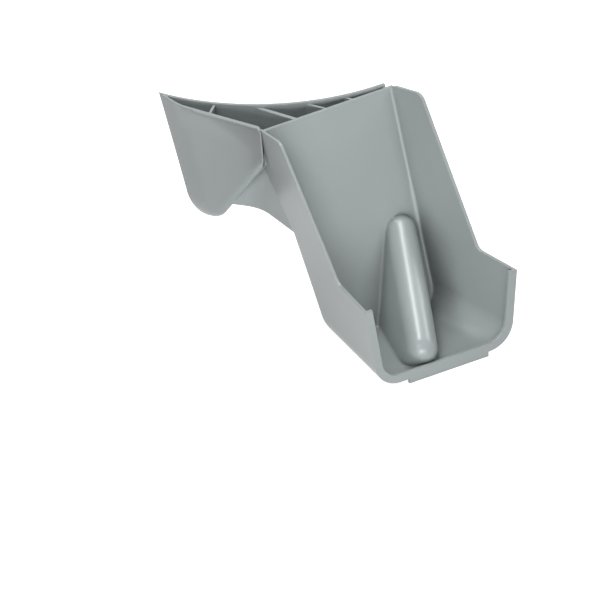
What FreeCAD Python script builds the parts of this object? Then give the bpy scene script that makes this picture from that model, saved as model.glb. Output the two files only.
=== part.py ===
import FreeCAD, Part
import math
import os
import sys

from FreeCAD import Vector

# Moulded plug that closes the discharge chute of a rotary mower, drawn as it lies with its hollow side up.
# X runs across the chute, Y from the open mouth towards the cutting chamber, Z up.
# The origin is the middle of the mouth's lower edge.

doc = FreeCAD.newDocument("MulchingPlug")

SIZES = [
    ("wall", 3.5, "general wall thickness"),
    ("mouth_half_width", 90, "half the outer width of the mouth at its floor"),
    ("side_draft", 7.6, "degrees, lean of each side wall upwards and its taper towards the chamber"),
    ("corner_radius", 33, "outer radius between floor and side walls"),
    ("floor_fall", 4, "drop of the floor from the mouth to the closing wall"),
    ("mouth_height_left", 106, "height of the left wall at the mouth"),
    ("mouth_height_right", 94, "height of the right wall at the mouth"),
    ("knee_left", 77, "length of the low part of the left wall"),
    ("knee_right", 67, "length of the low part of the right wall"),
    ("shoulder_reach", 186, "Y of the highest point of the side walls"),
    ("shoulder_height", 245, "highest point of the side walls"),
    ("wall_end_left", 234.3, "height of the left wall just ahead of the closing wall"),
    ("wall_end_right", 236.5, "height of the right wall just ahead of the closing wall"),
    ("wall_end_gap", 5.2, "distance along Y from that corner to the closing wall's face"),
    ("wall_end_radius", 4, "radius of the side walls' top corner there"),
    ("profile_radius", 14, "radius of knee and shoulder in the side walls"),
    ("closing_foot", 128.5, "Y of the closing wall's face at floor level"),
    ("closing_lean", 24.75, "degrees, lean of the closing wall from upright"),
    ("closing_height", 233.8, "top of the closing wall"),
    ("double_gap", 19, "distance along Y from the closing wall's face to the rear skin"),
    ("seam_radius", 3.5, "radius between closing wall and side walls, inside"),
    ("heel_radius", 12, "outer radius where the floor turns up into the rear skin"),
    ("rim_width", 10, "width of the rim round the mouth"),
    ("rim_depth", 4, "thickness of the rim along Y"),
    ("lip_left", -48.5, "left end of the lip under the rim"),
    ("lip_right", 58.5, "right end of the lip under the rim"),
    ("lip_drop", 6, "how far the lip stands below the floor"),
    ("arc_radius", 242.5, "chamber radius of the curved wall"),
    ("arc_axis_across", 79, "X of the chamber's axis"),
    ("arc_nearest", 245.5, "Y of the curved wall's face where it comes nearest the mouth"),
    ("deck_level", 117, "lower edge of the curved wall"),
    ("chamber_top", 236.7, "upper edge of the curved wall"),
    ("chamber_right", 81.5, "X of the chamber part's right face"),
    ("flare_across", -79.8, "X of the straight left face behind the closing wall"),
    ("flare_start", 245, "Y where that face starts to turn outwards"),
    ("flare_radius", 54, "radius of that turn"),
    ("flare_angle", 38.5, "degrees it turns outwards"),
    ("flare_length", 23, "length of the straight face after the turn"),
    ("wing_root_across", -89.8, "X of the wing's front wall where it leaves the channel"),
    ("wing_root_back", 239.2, "Y of that place"),
    ("wing_angle", 25.1, "degrees from Y, direction of the wing's front wall"),
    ("wing_length", 128.6, "length of the wing's front wall at its top"),
    ("wing_draft", 3.9, "degrees, lean of the wing's front wall"),
    ("wing_end_lean", 8.5, "degrees, lean of the wing's outer end"),
    ("wing_end_angle", 9.3, "degrees from Y, direction of the wing's end face"),
    ("wing_skew_height", 159, "height where the wing's underside leaves the channel"),
    ("wing_skew_angle", 52.3, "degrees, slope of the wing's underside"),
    ("wing_toe_radius", 34, "radius of the wing's lower corner"),
    ("wing_toe_inner_radius", 29, "radius of the same corner inside"),
    ("wing_edge_radius", 25, "radius of the wing's front edges"),
    ("wing_root_run", 30, "how far the wing's front wall starts ahead of its root, inside the channel's wall"),
    ("wing_lip_out", 2, "how far the lip along the wing's top stands out from its front wall"),
    ("wing_lip_height", 3.5, "height of that lip"),
    ("wing_lip_end", -130, "X where the lip ends, short of the wing's tip"),
    ("wing_depth", 110, "how far back the wing is carried before the curved wall trims it"),
    ("wing_step", 4, "how far the wing's front wall stands out from the channel's left wall"),
    ("rib_wall", 3, "thickness of the stiffening ribs"),
    ("rib_setback", 1.5, "how far the ribs stay below the top edge"),
    ("main_rib_wall", 5, "thickness of the heavier rib"),
    ("main_rib_front", -41, "X of the heavier rib at the closing wall"),
    ("main_rib_rear", -66, "X of the heavier rib at the curved wall"),
    ("middle_rib_front", 0.3, "X of the middle rib at the closing wall"),
    ("middle_rib_rear", -14.5, "X of the middle rib at the curved wall"),
    ("right_rib_front", 36.5, "X of the right rib at the closing wall"),
    ("right_rib_rear", 28.5, "X of the right rib at the curved wall"),
    ("wing_rib_across", -105, "X of a place on the wing's rib"),
    ("wing_rib_back", 318, "Y of that place"),
    ("wing_rib_length", 40, "length of the wing's rib from there"),
    ("crest_radius", 19, "radius of the half-round rib's crest"),
    ("crest_front_across", -16.6, "X of the crest's axis near the mouth"),
    ("crest_front_back", 24, "Y of the crest's axis near the mouth"),
    ("crest_front_up", 18, "Z of the crest's axis near the mouth"),
    ("crest_rear_across", 48.9, "X of the crest's axis at the closing wall"),
    ("crest_rear_back", 166, "Y of the crest's axis at the closing wall"),
    ("crest_rear_up", 86.7, "Z of the crest's axis at the closing wall"),
]

sheet = doc.addObject("Spreadsheet::Sheet", "Sizes")
for row, (name, value, note) in enumerate(SIZES, start=1):
    sheet.set("A%d" % row, name)
    sheet.set("B%d" % row, str(value))
    sheet.set("C%d" % row, note)
    sheet.setAlias("B%d" % row, name)
doc.recompute()


def size(name):
    """A driving dimension, read from the sheet."""
    return float(sheet.get(name))


def tangent(name):
    """The tangent of an angle kept in the sheet in degrees."""
    return math.tan(math.radians(size(name)))


WALL = size("wall")
# Tools that cut or trim reach this far where no face of the plug limits them, and a little past its front and foot.
FAR = 500
PAST = 50
CLEAR = 10
# The channel's corners are too narrow to round further back than this, where the chamber has cut the channel away.
CHANNEL_END = 330
# Two places nearer than this are the same.
TOUCH = 0.01
ARC_AXIS_BACK = size("arc_nearest") + size("arc_radius")
SLOPE = tangent("side_draft")
LEAN = tangent("closing_lean")
ACROSS = Vector(1, 0, 0)
BACK = Vector(0, 1, 0)
UP = Vector(0, 0, 1)
# The side walls run along this direction, and the mould opens square to it.
ALONG = Vector(0, 1, 1).normalize()
DRAW = Vector(0, -1, 1).normalize()


def rounded_face(points, radii, place):
    """A flat face whose corners are rounded. place turns a pair of numbers into a point in space."""
    corners = [place(*p) for p in points]
    count = len(corners)
    edges = []
    starts = []
    ends = []
    arcs = []
    for i, corner in enumerate(corners):
        before = (corners[i - 1] - corner).normalize()
        after = (corners[(i + 1) % count] - corner).normalize()
        radius = radii.get(i, 0)
        if radius == 0:
            starts.append(corner)
            ends.append(corner)
            arcs.append(None)
            continue
        half = before.getAngle(after) / 2
        reach = radius / math.tan(half)
        first = corner + before * reach
        last = corner + after * reach
        middle = (before + after).normalize()
        mid = corner + middle * (radius / math.sin(half) - radius)
        starts.append(first)
        ends.append(last)
        arcs.append(Part.Arc(first, mid, last).toShape())
    for i in range(count):
        if arcs[i] is not None:
            edges.append(arcs[i])
        edges.append(Part.LineSegment(ends[i], starts[(i + 1) % count]).toShape())
    return Part.Face(Part.Wire(edges))


def side_prism(points, left, right, radii=None):
    """A block with the given outline in the YZ plane, between two values of X."""
    face = rounded_face(points, radii or {}, lambda y, z: Vector(left, y, z))
    return face.extrude(ACROSS * (right - left))


def plan_prism(points, low, high):
    """A block with the given outline in the XY plane, between two heights."""
    face = rounded_face(points, {}, lambda x, y: Vector(x, y, low))
    return face.extrude(UP * (high - low))


def closing_face(z):
    """Y of the closing wall's front face at height z."""
    return size("closing_foot") + LEAN * z


def closing_back(z):
    """Y of the closing wall's rear face at height z."""
    return closing_face(z) + WALL * math.hypot(1, LEAN)


def rear_skin(z, inset):
    """Y of the rear skin at height z, moved inwards by inset."""
    return closing_face(z) + size("double_gap") - inset * math.hypot(1, LEAN)


def floor_height(y):
    """Z of the floor's lower face."""
    return -size("floor_fall") * y / size("closing_foot")


def channel(inset):
    """The space between floor and side walls, endless upwards, moved inwards by inset."""
    half = size("mouth_half_width") - inset * math.sqrt(1 + 2 * SLOPE**2)
    corners = []
    for side, level in ((-1, -FAR), (1, -FAR), (1, FAR), (-1, FAR)):
        reach = half + SLOPE * math.sqrt(2) * level
        corners.append(ACROSS * (side * reach) + DRAW * level - ALONG * FAR)
    walls = Part.Face(Part.makePolygon(corners + corners[:1])).extrude(ALONG * (3 * FAR))
    foot = floor_height(-PAST) + inset
    heel = floor_height(CHANNEL_END) + inset
    outline = [(-PAST, foot), (CHANNEL_END, heel), (CHANNEL_END, FAR), (-PAST, FAR)]
    body = side_prism(outline, -FAR, FAR).common(walls)
    corners = [e for e in body.Edges if is_floor_corner(e, inset)]
    return body.makeFillet(size("corner_radius") - inset, corners)


def is_floor_corner(edge, inset):
    """True for the long edges where floor and side walls meet."""
    for vertex in edge.Vertexes:
        if abs(vertex.Z - floor_height(vertex.Y) - inset) > TOUCH:
            return False
    ends = [v.Point for v in edge.Vertexes]
    return abs(ends[0].y - ends[1].y) > PAST


def trough_blank():
    """The channel's solid outer form, from the mouth to the closing wall."""
    level = size("deck_level")
    top = size("closing_height")
    halves = []
    for low, high, height, knee, end in (
        (-FAR, 0, size("mouth_height_left"), size("knee_left"), size("wall_end_left")),
        (0, FAR, size("mouth_height_right"), size("knee_right"), size("wall_end_right")),
    ):
        outline = [
            (0, -PAST),
            (rear_skin(-PAST, 0), -PAST),
            (rear_skin(level, 0), level),
            (closing_back(level), level),
            (closing_back(top), top),
            (closing_face(top), top),
            (closing_face(end) - size("wall_end_gap"), end),
            (size("shoulder_reach"), size("shoulder_height")),
            (knee, height),
            (0, height),
        ]
        radii = {6: size("wall_end_radius"), 7: size("profile_radius"), 8: size("profile_radius")}
        halves.append(side_prism(outline, low, high, radii))
    profile = halves[0].fuse(halves[1]).removeSplitter()
    blank = channel(0).common(profile)
    return round_heel(blank)


def round_heel(blank):
    """Rounds the outer edge where the floor turns up into the rear skin."""
    level = size("deck_level")
    chosen = []
    for edge in blank.Edges:
        on_skin = all(abs(v.Y - rear_skin(v.Z, 0)) < TOUCH for v in edge.Vertexes)
        if on_skin and all(v.Z < level - TOUCH for v in edge.Vertexes):
            chosen.append(edge)
    return blank.makeFillet(size("heel_radius"), chosen)


def trough_hollow():
    """The space inside the channel, in front of the closing wall, open at its top."""
    start = size("rim_depth")
    outline = [(start, -PAST), (closing_face(-PAST), -PAST), (closing_face(FAR), FAR), (start, FAR)]
    hollow = channel(WALL).common(side_prism(outline, -FAR, FAR))
    seam = []
    for edge in hollow.Edges:
        ends = edge.Vertexes
        if all(abs(v.Y - closing_face(v.Z)) < TOUCH for v in ends) and any(v.Z < FAR - TOUCH for v in ends):
            seam.append(edge)
    return hollow.makeFillet(size("seam_radius"), seam)


def mouth_opening():
    """The opening inside the rim."""
    back = size("rim_depth") + WALL
    outline = [(-PAST, -PAST), (back, -PAST), (back, FAR), (-PAST, FAR)]
    return channel(size("rim_width")).common(side_prism(outline, -FAR, FAR))


def chamber_outline(top, inset):
    """YZ outline of the part behind the closing wall, up to a given height."""
    low = size("deck_level") + inset
    face = closing_back if inset else closing_face
    return [(face(low), low), (face(top), top), (FAR, top), (FAR, low)]


def flare_outline(inset):
    """Plan of the left face behind the closing wall, which turns outwards towards the wing."""
    across = size("flare_across") + inset
    turn = math.radians(size("flare_angle"))
    radius = size("flare_radius") + inset
    start = size("flare_start")
    reach = radius * math.tan(turn / 2)
    corner = Vector(across, start + reach, 0)
    away = Vector(-math.sin(turn), math.cos(turn), 0)
    end = corner + away * (reach + size("flare_length"))
    points = [(across, 0), (across, corner.y), (end.x, end.y), (0, FAR), (0, 0)]
    return points, {1: radius}


def chamber_blank(top):
    """The solid outer form behind the closing wall, up to a given height."""
    block = side_prism(chamber_outline(top, 0), -FAR, size("chamber_right"))
    straight = block.common(channel(0))
    points, radii = flare_outline(0)
    face = rounded_face(points, radii, lambda x, y: Vector(x, y, 0))
    flared = block.common(face.extrude(UP * FAR))
    return straight.fuse(flared).removeSplitter()


def chamber_hollow():
    """The space behind the closing wall, open at its top."""
    block = side_prism(chamber_outline(FAR, WALL), -FAR, size("chamber_right") - WALL)
    straight = block.common(channel(WALL))
    points, radii = flare_outline(WALL)
    face = rounded_face(points, radii, lambda x, y: Vector(x, y, 0))
    flared = block.common(face.extrude(UP * FAR))
    return straight.fuse(flared)


def slot_hollow():
    """The narrow space between the closing wall and the rear skin."""
    low = size("corner_radius") + WALL
    high = size("deck_level") + 2 * WALL
    outline = [
        (closing_back(low), low),
        (closing_back(high), high),
        (rear_skin(high, WALL), high),
        (rear_skin(low, WALL), low),
    ]
    return channel(WALL).common(side_prism(outline, -FAR, size("chamber_right") - WALL))


def wing_block(inset):
    """The wing's form: its front outline carried back to the chamber, moved inwards by inset."""
    turn = math.radians(size("wing_angle"))
    carry = 1 / math.tan(turn + math.radians(size("wing_end_angle")))
    top = size("chamber_top")
    skew = math.radians(size("wing_skew_angle"))
    lean = math.radians(size("wing_end_lean"))
    # Each side line of the outline moves inwards so that the slanted wall keeps its thickness.
    end_inset = inset * math.hypot(1, carry * math.cos(lean)) / math.cos(lean)
    skew_inset = inset * math.hypot(1, carry * math.sin(skew)) / math.cos(skew)
    drop = size("wing_skew_height") + skew_inset
    length = size("wing_length") - end_inset
    toe = (length - math.tan(lean) * (top - drop)) / (1 + math.tan(lean) * math.tan(skew))
    root_edge = -size("wing_root_run")
    high = top + (CLEAR if inset > 0 else 0)
    outline = [
        (root_edge, high),
        (length + math.tan(lean) * (high - top), high),
        (toe, drop - toe * math.tan(skew)),
        (root_edge, drop - root_edge * math.tan(skew)),
    ]
    radius = size("wing_toe_inner_radius" if inset > 0 else "wing_toe_radius")
    face = rounded_face(outline, {2: radius}, lambda along, height: Vector(along, inset, height))
    block = face.extrude(BACK * size("wing_depth"))
    front = []
    for edge in block.Edges:
        middle = edge.valueAt((edge.FirstParameter + edge.LastParameter) / 2)
        if abs(middle.y - inset) < TOUCH and middle.x > root_edge + TOUCH and middle.z < high - TOUCH:
            front.append(edge)
    block = block.makeFillet(size("wing_edge_radius") - inset, front)
    if inset <= 0:
        step = size("wing_step")
        block = block.cut(Part.makeBox(-2 * root_edge, 2 * step, FAR, Vector(2 * root_edge, -step, 0)))
    return place_wing(block, turn, carry, top).common(behind_closing_wall())


def wing_lip():
    """The lip along the top of the wing's front wall."""
    top = size("chamber_top")
    end = size("wing_lip_end")
    corners = [(end, 0), (FAR, 0), (FAR, FAR), (end, FAR)]
    layer = plan_prism(corners, top - size("wing_lip_height"), top)
    return wing_block(-size("wing_lip_out")).common(layer)


def place_wing(block, turn, carry, top):
    """Slants the wing's block and stands it at the channel's left wall."""
    run = Vector(-math.sin(turn), math.cos(turn), 0)
    inward = Vector(math.cos(turn), math.sin(turn), 0)
    draft = tangent("wing_draft")
    root = Vector(size("wing_root_across"), size("wing_root_back"), 0) + inward * (draft * top)
    back = run * carry + inward
    rise = UP - inward * draft
    matrix = FreeCAD.Matrix()
    matrix.A11, matrix.A21, matrix.A31 = run.x, run.y, run.z
    matrix.A12, matrix.A22, matrix.A32 = back.x, back.y, back.z
    matrix.A13, matrix.A23, matrix.A33 = rise.x, rise.y, rise.z
    matrix.A14, matrix.A24, matrix.A34 = root.x, root.y, root.z
    return block.transformGeometry(matrix)


def behind_closing_wall():
    """Everything behind the closing wall's rear face."""
    outline = [(closing_back(-PAST), -PAST), (closing_back(FAR), FAR), (2 * FAR, FAR), (2 * FAR, -PAST)]
    return side_prism(outline, -FAR, FAR)


def add_shape(name, shape):
    """Keeps a shape that no primitive gives as an object of the document."""
    item = doc.addObject("Part::Feature", name)
    item.Shape = shape
    return item


def add_cylinder(name, radius_expression):
    """An upright cylinder round the chamber's axis."""
    item = doc.addObject("Part::Cylinder", name)
    item.setExpression("Radius", radius_expression)
    item.Height = 2 * FAR
    item.setExpression("Placement.Base.x", "Sizes.arc_axis_across")
    item.setExpression("Placement.Base.y", "Sizes.arc_nearest + Sizes.arc_radius")
    item.Placement.Base.z = -FAR
    return item


def add_boolean(kind, name, first, second):
    """A cut or common of two objects."""
    item = doc.addObject(kind, name)
    item.Base = first
    item.Tool = second
    return item


def add_group(kind, name, items):
    """A fuse or common of several objects."""
    item = doc.addObject(kind, name)
    item.Shapes = items
    return item


def crest_block(radius):
    """The half-round rib: a rod carried down against the mould's opening direction."""
    first = Vector(size("crest_front_across"), size("crest_front_back"), size("crest_front_up"))
    last = Vector(size("crest_rear_across"), size("crest_rear_back"), size("crest_rear_up"))
    axis = (last - first).normalize()
    down = (DRAW * -1 - axis * (DRAW * -1).dot(axis)).normalize()
    side = axis.cross(down)
    left = first + side * radius
    right = first - side * radius
    arc = Part.Arc(left, first - down * radius, right).toShape()
    lines = Part.makePolygon([right, right + down * FAR, left + down * FAR, left])
    section = Part.Face(Part.Wire([arc] + lines.Edges))
    bar = section.extrude(last - first)
    rounds = []
    for end in (first, last):
        rounds.append(Part.makeSphere(radius, end))
        rounds.append(Part.makeCylinder(radius, FAR, end, down))
    return bar.fuse(rounds).removeSplitter()


def crest_outside():
    """The half-round rib as it stands on the floor and against the closing wall."""
    half = WALL / 2
    start = size("rim_depth")
    outline = [
        (start, -PAST),
        (closing_face(-PAST) + half, -PAST),
        (closing_face(FAR) + half, FAR),
        (start, FAR),
    ]
    room = channel(half).common(side_prism(outline, -FAR, FAR))
    return crest_block(size("crest_radius")).common(room)


def crest_inside():
    """The hollow under the half-round rib, open below the floor."""
    start = size("rim_depth") + WALL
    outline = [(start, -PAST), (closing_face(-PAST), -PAST), (closing_face(FAR), FAR), (start, FAR)]
    room = side_prism(outline, -FAR, FAR)
    return crest_block(size("crest_radius") - WALL).common(room)


def rib_plate(first, last, thickness):
    """An upright plate between two places in plan."""
    run = (last - first).normalize()
    side = Vector(-run.y, run.x, 0) * (thickness / 2)
    start = first - run * WALL
    end = last + run * WALL
    points = [start - side, end - side, end + side, start + side]
    top = size("chamber_top") - size("rib_setback")
    return plan_prism([(p.x, p.y) for p in points], 0, top)


def arc_place(across):
    """The place on the curved wall's axis side at a given X."""
    aside = across - size("arc_axis_across")
    return Vector(across, ARC_AXIS_BACK - math.sqrt(size("arc_radius") ** 2 - aside**2), 0)


def rib_plates():
    """The stiffening ribs between the closing wall, the wing and the curved wall."""
    wall = closing_face(size("closing_height"))
    # One rib crosses the wing square to the curved wall.
    axis = Vector(size("arc_axis_across"), ARC_AXIS_BACK, 0)
    root = Vector(size("wing_rib_across"), size("wing_rib_back"), 0)
    away = (root - axis).normalize()
    plates = [rib_plate(root, root + away * size("wing_rib_length"), size("rib_wall"))]
    # The others run from the closing wall to the curved wall.
    for name, thickness in (("main_rib", "main_rib_wall"), ("middle_rib", "rib_wall"), ("right_rib", "rib_wall")):
        front = Vector(size(name + "_front"), wall, 0)
        plates.append(rib_plate(front, arc_place(size(name + "_rear")), size(thickness)))
    return plates


trough = add_shape("TroughBlank", trough_blank())
chamber = add_shape("ChamberBlank", chamber_blank(size("closing_height")))
tall_chamber = add_shape("TallChamberBlank", chamber_blank(size("chamber_top")))
wing = add_shape("WingBlank", wing_block(0))
wing_edge = add_shape("WingLip", wing_lip())
chamber_circle = add_cylinder("ChamberCircle", "Sizes.arc_radius")
wall_circle = add_cylinder("WallCircle", "Sizes.arc_radius + Sizes.wall")

lip = doc.addObject("Part::Box", "MouthLip")
lip.setExpression("Length", "Sizes.lip_right - Sizes.lip_left")
lip.setExpression("Width", "Sizes.rim_depth")
lip.setExpression("Height", "Sizes.lip_drop + Sizes.wall")
lip.setExpression("Placement.Base.x", "Sizes.lip_left")
lip.setExpression("Placement.Base.z", "-Sizes.lip_drop")

curved_wall = add_group("Part::MultiCommon", "CurvedWall", [tall_chamber, wall_circle])
blanks = add_group("Part::MultiFuse", "Blanks", [trough, chamber, wing, wing_edge, lip, curved_wall])
outside = add_boolean("Part::Cut", "Outside", blanks, chamber_circle)

rear_room = add_shape("RearRoom", chamber_hollow())
slot_room = add_shape("SlotRoom", slot_hollow())
wing_room = add_shape("WingRoom", wing_block(WALL))
rear_rooms = add_group("Part::MultiFuse", "RearRooms", [rear_room, slot_room, wing_room])
rear_clear = add_boolean("Part::Cut", "RearClear", rear_rooms, wall_circle)
ribs = add_group("Part::MultiFuse", "Ribs", [add_shape("RibPlate", p) for p in rib_plates()])
rear_hollow = add_boolean("Part::Cut", "RearHollow", rear_clear, ribs)

channel_hollow = add_shape("ChannelHollow", trough_hollow())
opening = add_shape("MouthOpening", mouth_opening())
hollows = add_group("Part::MultiFuse", "Hollows", [channel_hollow, opening, rear_hollow])
shell = add_boolean("Part::Cut", "Shell", outside, hollows)

crest = add_shape("CrestOutside", crest_outside())
crest_room = add_shape("CrestInside", crest_inside())
ribbed = add_group("Part::MultiFuse", "RibbedShell", [shell, crest])
plug = add_boolean("Part::Cut", "MulchingPlug", ribbed, crest_room)
plug.Label = "mulching_plug"

doc.recompute()

for item in doc.Objects:
    if "Invalid" in item.State or "Error" in item.State:
        sys.exit("failed to build: " + item.Label)
NODES = [plug]
os.makedirs("parts", exist_ok=True)
for node in NODES:
    shape = node.Shape
    if shape.isNull() or not shape.isValid() or len(shape.Solids) != 1:
        sys.exit("not one sound solid: %s (%d)" % (node.Label, len(shape.Solids)))
    shape.exportStep("parts/%s.step" % node.Label)
    print(node.Label, "volume", round(shape.Volume), "box", shape.BoundBox)
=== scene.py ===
import math

import bpy
from mathutils import Matrix, Vector


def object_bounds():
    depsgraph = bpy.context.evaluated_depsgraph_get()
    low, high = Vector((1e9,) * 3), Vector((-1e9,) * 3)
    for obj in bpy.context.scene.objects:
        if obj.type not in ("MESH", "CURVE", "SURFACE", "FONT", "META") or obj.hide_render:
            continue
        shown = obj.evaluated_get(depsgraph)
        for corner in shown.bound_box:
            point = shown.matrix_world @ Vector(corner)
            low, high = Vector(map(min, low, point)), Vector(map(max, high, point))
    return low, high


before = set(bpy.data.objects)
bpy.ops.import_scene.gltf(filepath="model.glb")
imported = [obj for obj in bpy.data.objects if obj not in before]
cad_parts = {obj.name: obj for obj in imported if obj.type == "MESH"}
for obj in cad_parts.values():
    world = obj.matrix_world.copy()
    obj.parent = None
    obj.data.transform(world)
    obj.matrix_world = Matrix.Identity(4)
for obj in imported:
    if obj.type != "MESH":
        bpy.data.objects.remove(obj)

CAD_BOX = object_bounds()

# The camera is orthographic and follows the photograph's view. Angles are in degrees.
PITCH = 29.47
ROLL = -2.83
YAW = 30.71
PIXELS_PER_METRE = 866.6
FRAME_PIXELS = 600
# The object's origin falls on this pixel of the photograph.
ORIGIN_PIXEL = (445.4, 366.6)
CAMERA_DISTANCE = 3.0
CAMERA_REACH = 10

# The plastic's colours, and its roughness from the smoothest to the roughest patches.
PLASTIC_DARK = (0.285, 0.315, 0.318, 1)
PLASTIC_LIGHT = (0.305, 0.337, 0.338, 1)
PLASTIC_RUBBED = (0.42, 0.45, 0.45, 1)
ROUGHNESS = (0.28, 0.34)
GLOSS = 0.5
# Noise textures, each with its scale and detail: broad clouds of tone, fine moulded grain, rubbed patches.
CLOUDS = (9, 3)
GRAIN = (900, 2)
PATCHES = (60, 4)
# The stretch of the clouds' noise over which the tone and the roughness change.
CLOUD_SPAN = (0.3, 0.7)
# The stretch of the patches' noise over which the rubbing changes, and its least and most.
PATCH_SPAN = (0.35, 0.65)
PATCH_RUB = (0.15, 0.6)
# How strong and how deep the grain is.
GRAIN_STRENGTH = 0.07
GRAIN_DEPTH = 0.0004
# An edge is rubbed from none to full as the cosine between its rounded and its flat normal falls.
EDGE_TURN = (0.99, 0.80)

# Radii and ray counts of the small rounds on edges and of the wide rounds beside the half-round rib.
EDGE_ROUND = 0.0012
EDGE_SAMPLES = 4
RIB_ROUND = 0.007
RIB_SAMPLES = 8
# The rib's axis from the mouth to the wall, and a direction back and down into the corner under it.
RIB_FRONT = (-0.0166, 0.024, 0.018)
RIB_REAR = (0.0489, 0.166, 0.0867)
RIB_CORNER = (0, 1, -1)
# Where the wide rounds begin and end, on the rib's left and right, behind the rim and in height.
RIB_SOFT_LEFT = (0.026, 0.034)
RIB_SOFT_RIGHT = (-0.022, -0.019)
RIB_SOFT_FRONT = (0.006, 0.012)
RIB_SOFT_TOP = (0.12, 0.14)

# Painted shade darkens the colour in recesses before the closing wall: how far off a recess is felt, how
# open it is where the painted shade begins and where it is full, the darkest painted shade and the ray
# count.
RECESS_REACH = 0.05
RECESS_OPEN = (0.75, 0.3)
PAINTED_RECESS_SHADE = (0.42, 0.42, 0.42, 1)
RECESS_SAMPLES = 4
# The closing wall, where the painted shade stops: where its rear face meets the ground, how far it leans
# back for each metre of height, and over what length the painted shade ends there.
WALL_FOOT = 0.1305
WALL_SLOPE = 0.461
WALL_BLUR = 0.001

# The wing's front wall is hollowed a little towards its root and its top. Here are its root, and the
# directions along it and out of it.
WING_ROOT = (-0.0898, 0.2392, 0)
WING_RUN = (-0.4242, 0.9056, 0)
WING_OUT = (-0.9056, -0.4242, 0)
# Where the hollowing starts and ends along it and in height, and how fast its slope grows per metre.
WING_HOLLOW_RUN = (0.08, 0)
WING_HOLLOW_RISE = (0.202, 0.25)
WING_RUN_BEND = 7.5
WING_RISE_BEND = 14.0
# What counts as the front wall: how squarely a face looks out, how far along it lies, and how far out.
WING_FACING = (0.93, 0.985)
WING_BEGINS = (0, 0.003)
WING_FOREMOST = (-0.0105, -0.009)

# The floor's half width and colour, and how bright it looks to the camera beside its lit colour.
FLOOR_HALF = 3
FLOOR_COLOUR = (0.45, 0.45, 0.45, 1)
FLOOR_GLOW = 0.93
WHITE = (1, 1, 1, 1)
# Each lamp's name, its angles round and above the object from its front, its width and its power in watts.
LAMPS = (
    ("front", -10, 6, 0.6, 7),
    ("low_left", -32, 8, 0.6, 12.5),
    ("front_left", -48, 42, 0.6, 5),
    ("left", -80, 42, 0.6, 3.5),
    ("right", 90, 42, 0.6, 6.5),
    ("rear_right", 135, 65, 0.6, 4.5),
    ("top", 180, 76, 0.40, 12.5),
    ("seam", -48, 2, 0.14, 1.5),
)
LAMP_DISTANCE = 1.6
LAMP_TARGET = (0, 0.15, 0.1)


class Tree:
    """A node tree, with short ways to add the nodes that repeat."""

    def __init__(self, tree):
        tree.nodes.clear()
        self.nodes = tree.nodes
        self.links = tree.links

    def put(self, value, socket):
        """Links an output to a socket, or sets the socket to a plain value."""
        if isinstance(value, bpy.types.NodeSocket):
            self.links.new(value, socket)
        else:
            socket.default_value = value

    def add(self, kind, **values):
        """A node with some of its inputs linked or set."""
        node = self.nodes.new(kind)
        for name, value in values.items():
            self.put(value, node.inputs[name.replace("_", " ")])
        return node

    def maths(self, operation, *values):
        """The result of one operation on numbers."""
        node = self.nodes.new("ShaderNodeMath")
        node.operation = operation
        for value, socket in zip(values, node.inputs):
            self.put(value, socket)
        return node.outputs["Value"]

    def vector_maths(self, operation, first, second):
        """The node of one operation on two vectors."""
        node = self.nodes.new("ShaderNodeVectorMath")
        node.operation = operation
        self.put(first, node.inputs[0])
        self.put(second, node.inputs[1])
        return node

    def minus(self, first, second):
        """One vector less another."""
        return self.vector_maths("SUBTRACT", first, second).outputs["Vector"]

    def dot(self, first, second):
        """The dot product of two vectors."""
        return self.vector_maths("DOT_PRODUCT", first, second).outputs["Value"]

    def product(self, first, *others):
        """All values multiplied."""
        total = first
        for value in others:
            total = self.maths("MULTIPLY", total, value)
        return total

    def spread(self, value, span, start=0.0, end=1.0):
        """Maps a value from a span to start..end, held at the ends."""
        low, high = span
        node = self.add("ShaderNodeMapRange", Value=value, From_Min=low, From_Max=high)
        self.put(start, node.inputs["To Min"])
        self.put(end, node.inputs["To Max"])
        return node.outputs["Result"]

    def noise(self, place, scale, detail):
        """A noise texture in the object's own coordinates."""
        return self.add("ShaderNodeTexNoise", Vector=place, Scale=scale, Detail=detail).outputs["Fac"]

    def mixed(self, kind, factor, first, second, blend="MIX"):
        """Two vectors or two colours mixed by a factor."""
        node = self.nodes.new("ShaderNodeMix")
        node.data_type = kind
        node.blend_type = blend
        self.put(factor, node.inputs["Factor"])
        ends = [i for i in node.inputs if i.type == kind and i.name in ("A", "B")]
        self.put(first, ends[0])
        self.put(second, ends[1])
        return next(o for o in node.outputs if o.type == kind)

    def split(self, place):
        """The outputs X, Y and Z of a vector."""
        return self.add("ShaderNodeSeparateXYZ", Vector=place).outputs


def camera_axes():
    """The camera's right, up and forward directions."""
    pitch, roll, yaw = (math.radians(a) for a in (PITCH, ROLL, YAW))
    forward = Vector((0, math.cos(pitch), -math.sin(pitch)))
    right = Vector((1, 0, 0))
    up = Vector((0, math.sin(pitch), math.cos(pitch)))
    rolled_right = right * math.cos(roll) + up * math.sin(roll)
    rolled_up = up * math.cos(roll) - right * math.sin(roll)
    turn = Matrix.Rotation(-yaw, 3, "Z")
    return turn @ rolled_right, turn @ rolled_up, turn @ forward


def add_camera():
    """Places the camera so that the object's origin falls on its pixel."""
    right, up, forward = camera_axes()
    data = bpy.data.cameras.new("view")
    data.type = "ORTHO"
    data.ortho_scale = FRAME_PIXELS / PIXELS_PER_METRE
    data.clip_end = CAMERA_REACH
    camera = bpy.data.objects.new("view", data)
    bpy.context.scene.collection.objects.link(camera)
    across = (FRAME_PIXELS / 2 - ORIGIN_PIXEL[0]) / PIXELS_PER_METRE
    down = (FRAME_PIXELS / 2 - ORIGIN_PIXEL[1]) / PIXELS_PER_METRE
    centre = right * across - up * down
    place = Matrix((right, up, -forward)).transposed().to_4x4()
    place.translation = centre - forward * CAMERA_DISTANCE
    camera.matrix_world = place
    bpy.context.scene.camera = camera


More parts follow.
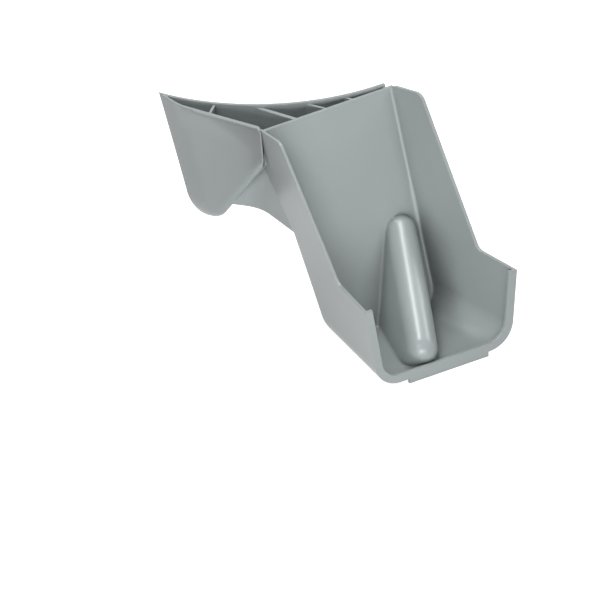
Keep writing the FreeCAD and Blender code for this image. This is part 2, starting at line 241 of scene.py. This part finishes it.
def new_material(name):
    """A node material with an empty tree."""
    material = bpy.data.materials.new(name)
    material.use_nodes = True
    return material, Tree(material.node_tree)


def beside_rib(tree, place):
    """1 at the half-round rib and the ground on its left, 0 away from it."""
    axis = (Vector(RIB_REAR) - Vector(RIB_FRONT)).normalized()
    leftwards = axis.cross(Vector(RIB_CORNER)).normalized()
    aside = tree.dot(tree.minus(place, RIB_FRONT), leftwards)
    axes = tree.split(place)
    left = tree.spread(aside, RIB_SOFT_LEFT, 1, 0)
    right = tree.spread(aside, RIB_SOFT_RIGHT)
    behind_rim = tree.spread(axes["Y"], RIB_SOFT_FRONT)
    below_top = tree.spread(axes["Z"], RIB_SOFT_TOP, 1, 0)
    return tree.product(left, right, behind_rim, below_top)


def rounded_normals(tree, place):
    """The normal with small rounds on every edge, and the one with wider rounds beside the rib as well."""
    fine = tree.add("ShaderNodeBevel", Radius=EDGE_ROUND)
    fine.samples = EDGE_SAMPLES
    wide = tree.add("ShaderNodeBevel", Radius=RIB_ROUND)
    wide.samples = RIB_SAMPLES
    edge = fine.outputs["Normal"]
    return edge, tree.mixed("VECTOR", beside_rib(tree, place), edge, wide.outputs["Normal"])


def before_wall(tree, place):
    """1 before the closing wall's rear face, 0 behind it."""
    axes = tree.split(place)
    upright = tree.maths("MULTIPLY_ADD", axes["Z"], -WALL_SLOPE, axes["Y"])
    return tree.spread(upright, (WALL_FOOT, WALL_FOOT + WALL_BLUR), 1, 0)


def painted_recess_shade(tree, place):
    """Painted shade's strength: 1 deep in a recess before the closing wall, 0 in the open and behind it.
    """
    around = tree.add("ShaderNodeAmbientOcclusion", Distance=RECESS_REACH)
    around.samples = RECESS_SAMPLES
    around.only_local = True
    return tree.product(tree.spread(around.outputs["AO"], RECESS_OPEN), before_wall(tree, place))


def hollow_height(tree, value, span, bend):
    """A height that is nought where the span starts and rises ever faster towards its end."""
    away = tree.spread(value, span, 0, abs(span[1] - span[0]))
    return tree.product(away, away, bend / 2)


def wing_front(tree, offset, along):
    """1 on the wing's front wall, 0 elsewhere."""
    flat = tree.add("ShaderNodeNewGeometry").outputs["Normal"]
    facing = tree.spread(tree.dot(flat, WING_OUT), WING_FACING)
    outside = tree.spread(along, WING_BEGINS)
    foremost = tree.spread(tree.dot(offset, WING_OUT), WING_FOREMOST)
    return tree.product(facing, outside, foremost)


def wing_normal(tree, place, normal):
    """The normal on the wing's front wall, which is slightly hollow, and the given normal elsewhere."""
    offset = tree.minus(place, WING_ROOT)
    along = tree.dot(offset, WING_RUN)
    to_root = hollow_height(tree, along, WING_HOLLOW_RUN, WING_RUN_BEND)
    to_top = hollow_height(tree, tree.split(place)["Z"], WING_HOLLOW_RISE, WING_RISE_BEND)
    height = tree.maths("ADD", to_root, to_top)
    hollowed = tree.add("ShaderNodeBump", Strength=1, Distance=1, Height=height, Normal=normal)
    return tree.mixed("VECTOR", wing_front(tree, offset, along), normal, hollowed.outputs["Normal"])


def edge_wear(tree, rounded):
    """1 on sharp edges, where the rounded normal leaves the face's own."""
    flat = tree.add("ShaderNodeNewGeometry").outputs["Normal"]
    return tree.spread(tree.dot(flat, rounded), EDGE_TURN)


def plastic_tone(tree, cloud):
    """The plastic's colour, which changes slightly with the clouds."""
    tone = tree.add("ShaderNodeValToRGB", Fac=cloud)
    ends = zip(tone.color_ramp.elements, CLOUD_SPAN, (PLASTIC_DARK, PLASTIC_LIGHT))
    for element, position, colour in ends:
        element.position = position
        element.color = colour
    return tone.outputs["Color"]


def plastic_colour_and_painted_shade(tree, place, cloud, edge):
    """The plastic's colour, paler along rubbed edges and darkened by painted shade in recesses."""
    patches = tree.spread(tree.noise(place, *PATCHES), PATCH_SPAN, *PATCH_RUB)
    rub = tree.product(edge_wear(tree, edge), patches)
    rubbed = tree.mixed("RGBA", rub, plastic_tone(tree, cloud), PLASTIC_RUBBED)
    # Painted shade: the colour is multiplied darker in recesses before the closing wall.
    return tree.mixed("RGBA", painted_recess_shade(tree, place), rubbed, PAINTED_RECESS_SHADE, "MULTIPLY")


def plastic_material():
    """Cool grey satin plastic with a fine moulded grain, and painted shade in its recesses."""
    material, tree = new_material("moulded_plastic")
    place = tree.add("ShaderNodeTexCoord").outputs["Object"]
    cloud = tree.noise(place, *CLOUDS)
    edge, normal = rounded_normals(tree, place)
    grained = tree.add(
        "ShaderNodeBump",
        Strength=GRAIN_STRENGTH,
        Distance=GRAIN_DEPTH,
        Height=tree.noise(place, *GRAIN),
        Normal=wing_normal(tree, place, normal),
    )
    shader = tree.add(
        "ShaderNodeBsdfPrincipled",
        Base_Color=plastic_colour_and_painted_shade(tree, place, cloud, edge),
        Roughness=tree.spread(cloud, CLOUD_SPAN, *ROUGHNESS),
        Specular_IOR_Level=GLOSS,
        Normal=grained.outputs["Normal"],
    )
    tree.add("ShaderNodeOutputMaterial", Surface=shader.outputs["BSDF"])
    return material


def seen_directly(tree):
    """1 for what the camera sees straight, in a gloss or through glass."""
    path = tree.add("ShaderNodeLightPath")
    total = path.outputs["Is Camera Ray"]
    for name in ("Is Glossy Ray", "Is Transmission Ray"):
        total = tree.maths("MAXIMUM", total, path.outputs[name])
    return total


def choose_shader(tree, factor, unseen, seen, output):
    """Gives the output one shader for what is seen directly and another for the rest of the light."""
    mix = tree.add("ShaderNodeMixShader", Fac=factor)
    tree.put(unseen, mix.inputs[1])
    tree.put(seen, mix.inputs[2])
    tree.add(output, Surface=mix.outputs["Shader"])


def floor_material():
    """A pale floor that looks white, straight and in a gloss, with the object's shadow in it."""
    material, tree = new_material("floor_white")
    lit = tree.add("ShaderNodeBsdfDiffuse", Color=FLOOR_COLOUR).outputs["BSDF"]
    glow = tree.add("ShaderNodeEmission", Color=WHITE, Strength=FLOOR_GLOW).outputs["Emission"]
    both = tree.nodes.new("ShaderNodeAddShader")
    tree.put(lit, both.inputs[0])
    tree.put(glow, both.inputs[1])
    choose_shader(tree, seen_directly(tree), lit, both.outputs["Shader"], "ShaderNodeOutputMaterial")
    return material


def add_floor():
    """The floor under the object."""
    low = CAD_BOX[0][2]
    corners = [(x * FLOOR_HALF, y * FLOOR_HALF, low) for x, y in ((-1, -1), (1, -1), (1, 1), (-1, 1))]
    mesh = bpy.data.meshes.new("floor")
    mesh.from_pydata(corners, [], [(0, 1, 2, 3)])
    floor = bpy.data.objects.new("floor", mesh)
    bpy.context.scene.collection.objects.link(floor)
    mesh.materials.append(floor_material())


def add_world():
    """A world that looks white, straight and in a gloss, and gives no other light."""
    world = bpy.data.worlds.new("studio")
    world.use_nodes = True
    tree = Tree(world.node_tree)
    dark = tree.add("ShaderNodeBackground", Strength=0).outputs["Background"]
    white = tree.add("ShaderNodeBackground", Color=WHITE, Strength=1).outputs["Background"]
    choose_shader(tree, seen_directly(tree), dark, white, "ShaderNodeOutputWorld")
    bpy.context.scene.world = world


def add_lamp(name, place, target, size, power):
    """A square area light aimed at a point."""
    data = bpy.data.lights.new(name, "AREA")
    data.size = size
    data.energy = power
    lamp = bpy.data.objects.new(name, data)
    bpy.context.scene.collection.objects.link(lamp)
    lamp.location = place
    aim = Vector(target) - Vector(place)
    lamp.rotation_euler = aim.to_track_quat("-Z", "Y").to_euler()


def add_lamps():
    """All lamps, at one distance from a point near the object's middle and aimed at it."""
    for name, azimuth, elevation, width, power in LAMPS:
        turn = math.radians(azimuth)
        lift = math.radians(elevation)
        away = Vector((math.cos(lift) * math.sin(turn), -math.cos(lift) * math.cos(turn), math.sin(lift)))
        add_lamp(name, Vector(LAMP_TARGET) + away * LAMP_DISTANCE, LAMP_TARGET, width, power)


def dress_plug():
    """Gives the plug its plastic."""
    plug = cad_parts["mulching_plug"]
    plastic = plastic_material()
    for slot in plug.material_slots:
        slot.material = plastic


bpy.context.scene.view_settings.view_transform = "Standard"
add_camera()
add_world()
add_floor()
add_lamps()
dress_plug()
